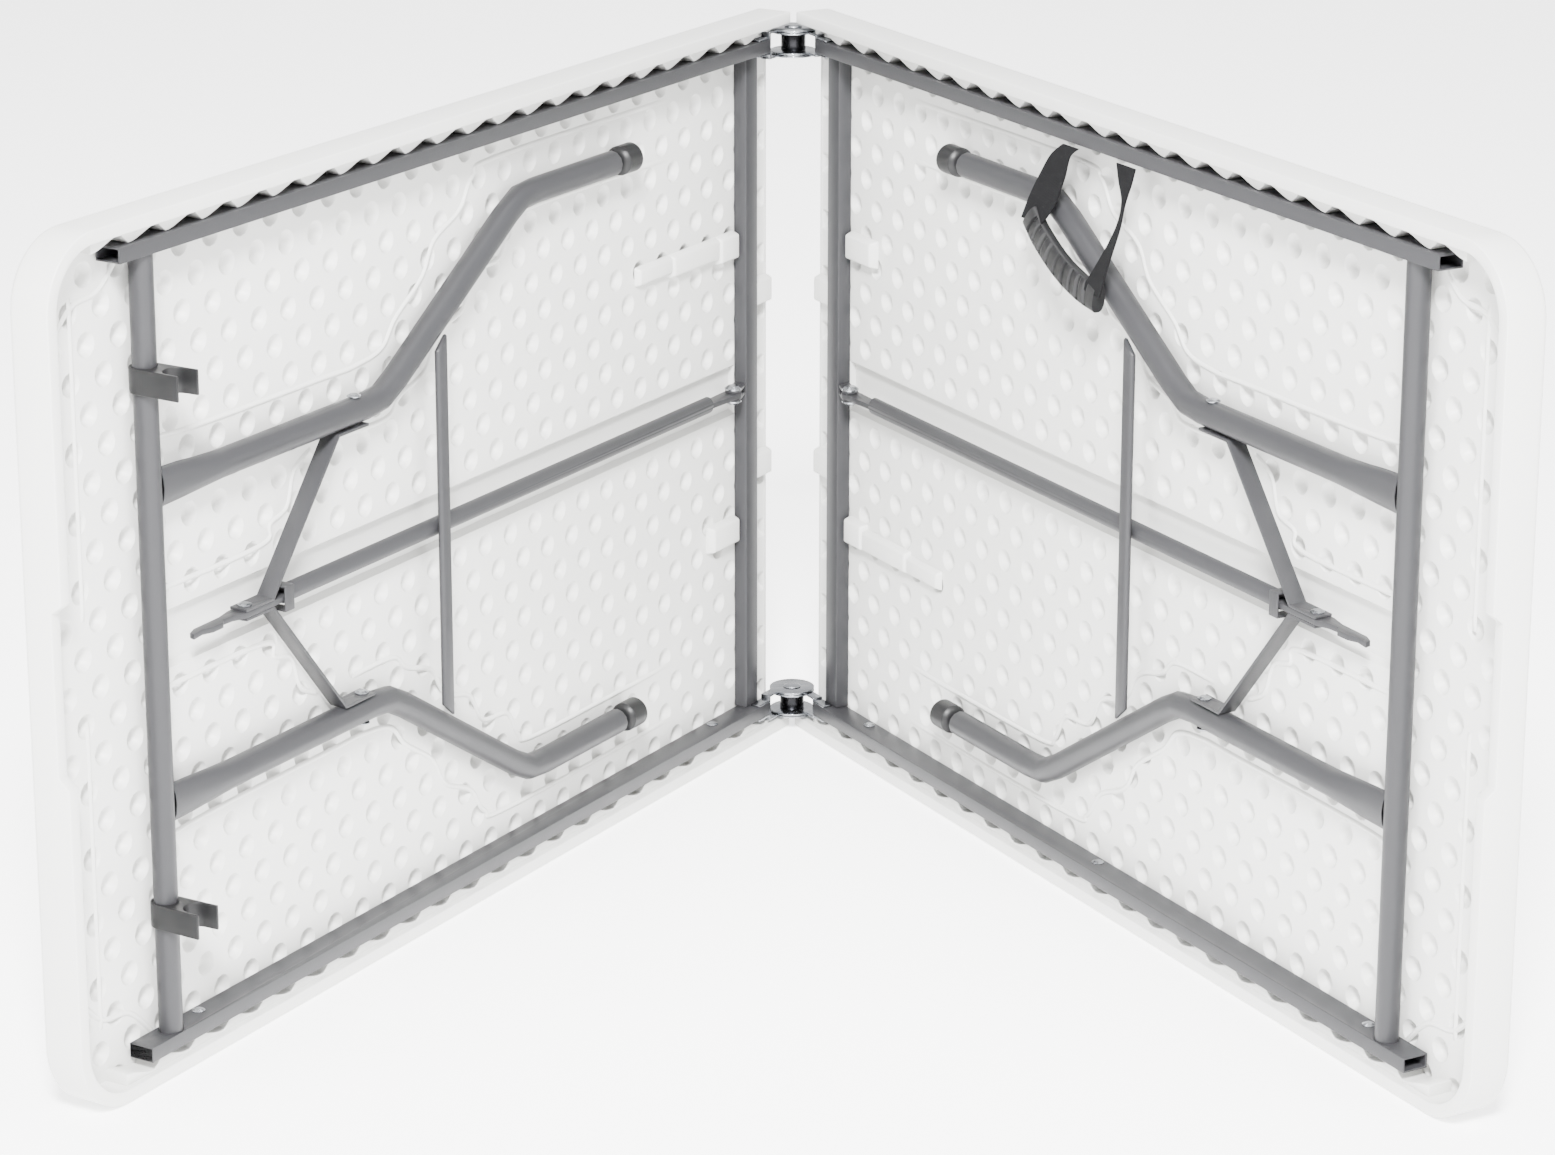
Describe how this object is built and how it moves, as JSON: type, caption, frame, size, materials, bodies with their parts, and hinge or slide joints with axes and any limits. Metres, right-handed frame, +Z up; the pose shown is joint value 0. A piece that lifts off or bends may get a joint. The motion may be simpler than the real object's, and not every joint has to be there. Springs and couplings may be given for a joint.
{
  "type": "folding table",
  "caption": "Fold-in-half table with moulded plastic top, steel side rails, folding tube legs, braces, retaining clips and webbing carry handle, standing part open.",
  "frame": {"origin": "middle of the footprint at floor level, with the table standing part open on its long edges", "axes": "+Z up along the fold hinge, +X from half a to half b, -Y towards the open side of the V"},
  "size_m": [1.2214, 1.0184, 0.76],
  "materials": {
    "top_plastic": "off-white fine textured moulded plastic",
    "frame_steel": "mid grey textured powder coat",
    "zinc": "bright zinc plate",
    "black_plastic": "black moulded plastic",
    "black_webbing": "black woven webbing"
  },
  "bodies": {
    "half_a": {"top_a": "top_plastic", "rail_a_bottom": "frame_steel", "rail_a_top": "frame_steel", "fold_tube_a": "frame_steel", "hinge_leaf_a_bottom": "zinc", "hinge_leaf_a_top": "zinc", "arm_bracket_a": "frame_steel", "arm_bolt_a": "zinc", "rail_screw_a_1": "zinc", "rail_screw_a_2": "zinc"},
    "leg_frame_a": {"pivot_tube_a": "frame_steel", "leg_a_bottom": "frame_steel", "leg_a_top": "frame_steel", "leg_brace_a": "frame_steel", "foot_cap_a_bottom": "black_plastic", "foot_cap_a_top": "black_plastic", "leg_rivet_a_bottom": "zinc", "leg_rivet_a_top": "zinc", "clip_1": "black_plastic", "clip_2": "black_plastic"},
    "arm_a": {"brace_arm_a": "frame_steel", "elbow_blade_a": "frame_steel"},
    "straps_a": {"strap_a_bottom": "frame_steel", "strap_a_top": "frame_steel", "elbow_rivet_a_bottom": "zinc", "elbow_rivet_a_top": "zinc"},
    "ring_a": {"lock_ring_a": "frame_steel"},
    "half_b": {"top_b": "top_plastic", "rail_b_bottom": "frame_steel", "rail_b_top": "frame_steel", "fold_tube_b": "frame_steel", "hinge_leaf_b_bottom": "zinc", "hinge_leaf_b_top": "zinc", "arm_bracket_b": "frame_steel", "arm_bolt_b": "zinc", "rail_screw_b_1": "zinc", "rail_screw_b_2": "zinc", "rail_screw_b_3": "zinc"},
    "leg_frame_b": {"pivot_tube_b": "frame_steel", "leg_b_bottom": "frame_steel", "leg_b_top": "frame_steel", "leg_brace_b": "frame_steel", "foot_cap_b_bottom": "black_plastic", "foot_cap_b_top": "black_plastic", "leg_rivet_b_bottom": "zinc", "leg_rivet_b_top": "zinc"},
    "arm_b": {"brace_arm_b": "frame_steel", "elbow_blade_b": "frame_steel"},
    "straps_b": {"strap_b_bottom": "frame_steel", "strap_b_top": "frame_steel", "elbow_rivet_b_bottom": "zinc", "elbow_rivet_b_top": "zinc"},
    "ring_b": {"lock_ring_b": "frame_steel"},
    "fold_link": {"hinge_pin_bottom": "zinc", "hinge_pin_top": "zinc"},
    "handle": {"handle_webbing_1": "black_webbing", "handle_webbing_2": "black_webbing", "handle_grip": "black_plastic"}
  },
  "joints": [
    {"name": "centre_unfold", "type": "hinge", "parent": "half_a", "child": "fold_link", "pos_m": [0, 0.48578, 0], "axis": [0, 0, 1], "range_deg": [0, 120]},
    {"name": "centre_close", "type": "hinge", "parent": "fold_link", "child": "half_b", "pos_m": [0, 0.48578, 0], "axis": [0, 0, 1], "range_deg": [-60, 0]},
    {"name": "leg_fold_a", "type": "hinge", "parent": "half_a", "child": "leg_frame_a", "pos_m": [-0.52179, -0.38499, 0.38], "axis": [0, 0, -1], "range_deg": [0, 90.01]},
    {"name": "arm_swing_a", "type": "hinge", "parent": "half_a", "child": "arm_a", "pos_m": [-0.05929, 0.41609, 0.38], "axis": [0, 0, 1], "range_deg": [0, 17.2]},
    {"name": "strap_swing_a", "type": "hinge", "parent": "leg_frame_a", "child": "straps_a", "pos_m": [-0.37879, -0.1373, 0.38], "axis": [0, 0, -1], "range_deg": [0, 72.83]},
    {"name": "ring_slide_a", "type": "slide", "parent": "arm_a", "child": "ring_a", "axis": [0.5, 0.866, 0], "range_m": [0, 0.0251]},
    {"name": "leg_fold_b", "type": "hinge", "parent": "half_b", "child": "leg_frame_b", "pos_m": [0.52179, -0.38499, 0.38], "axis": [0, 0, 1], "range_deg": [0, 90.01]},
    {"name": "arm_swing_b", "type": "hinge", "parent": "half_b", "child": "arm_b", "pos_m": [0.05929, 0.41609, 0.38], "axis": [0, 0, -1], "range_deg": [0, 17.2]},
    {"name": "strap_swing_b", "type": "hinge", "parent": "leg_frame_b", "child": "straps_b", "pos_m": [0.37879, -0.1373, 0.38], "axis": [0, 0, 1], "range_deg": [0, 72.83]},
    {"name": "ring_slide_b", "type": "slide", "parent": "arm_b", "child": "ring_b", "axis": [-0.5, 0.866, 0], "range_m": [0, 0.0251]},
    {"name": "handle_swing", "type": "hinge", "parent": "half_b", "child": "handle", "pos_m": [0, 0.48578, 0.722], "axis": [0.5, -0.866, 0], "range_deg": [-180.01, 0]}
  ],
  "couplings": [
    {"joint": "leg_fold_a", "follows": "centre_unfold", "ratio": 0.75},
    {"joint": "arm_swing_a", "follows": "centre_unfold", "ratio": 0.14318},
    {"joint": "strap_swing_a", "follows": "centre_unfold", "ratio": 0.60682},
    {"joint": "ring_slide_a", "follows": "centre_unfold", "m_per_rad": 0.011937},
    {"joint": "leg_fold_b", "follows": "centre_unfold", "ratio": 0.75},
    {"joint": "arm_swing_b", "follows": "centre_unfold", "ratio": 0.14318},
    {"joint": "strap_swing_b", "follows": "centre_unfold", "ratio": 0.60682},
    {"joint": "ring_slide_b", "follows": "centre_unfold", "m_per_rad": 0.011937},
    {"joint": "handle_swing", "follows": "centre_close", "ratio": 3}
  ]
}
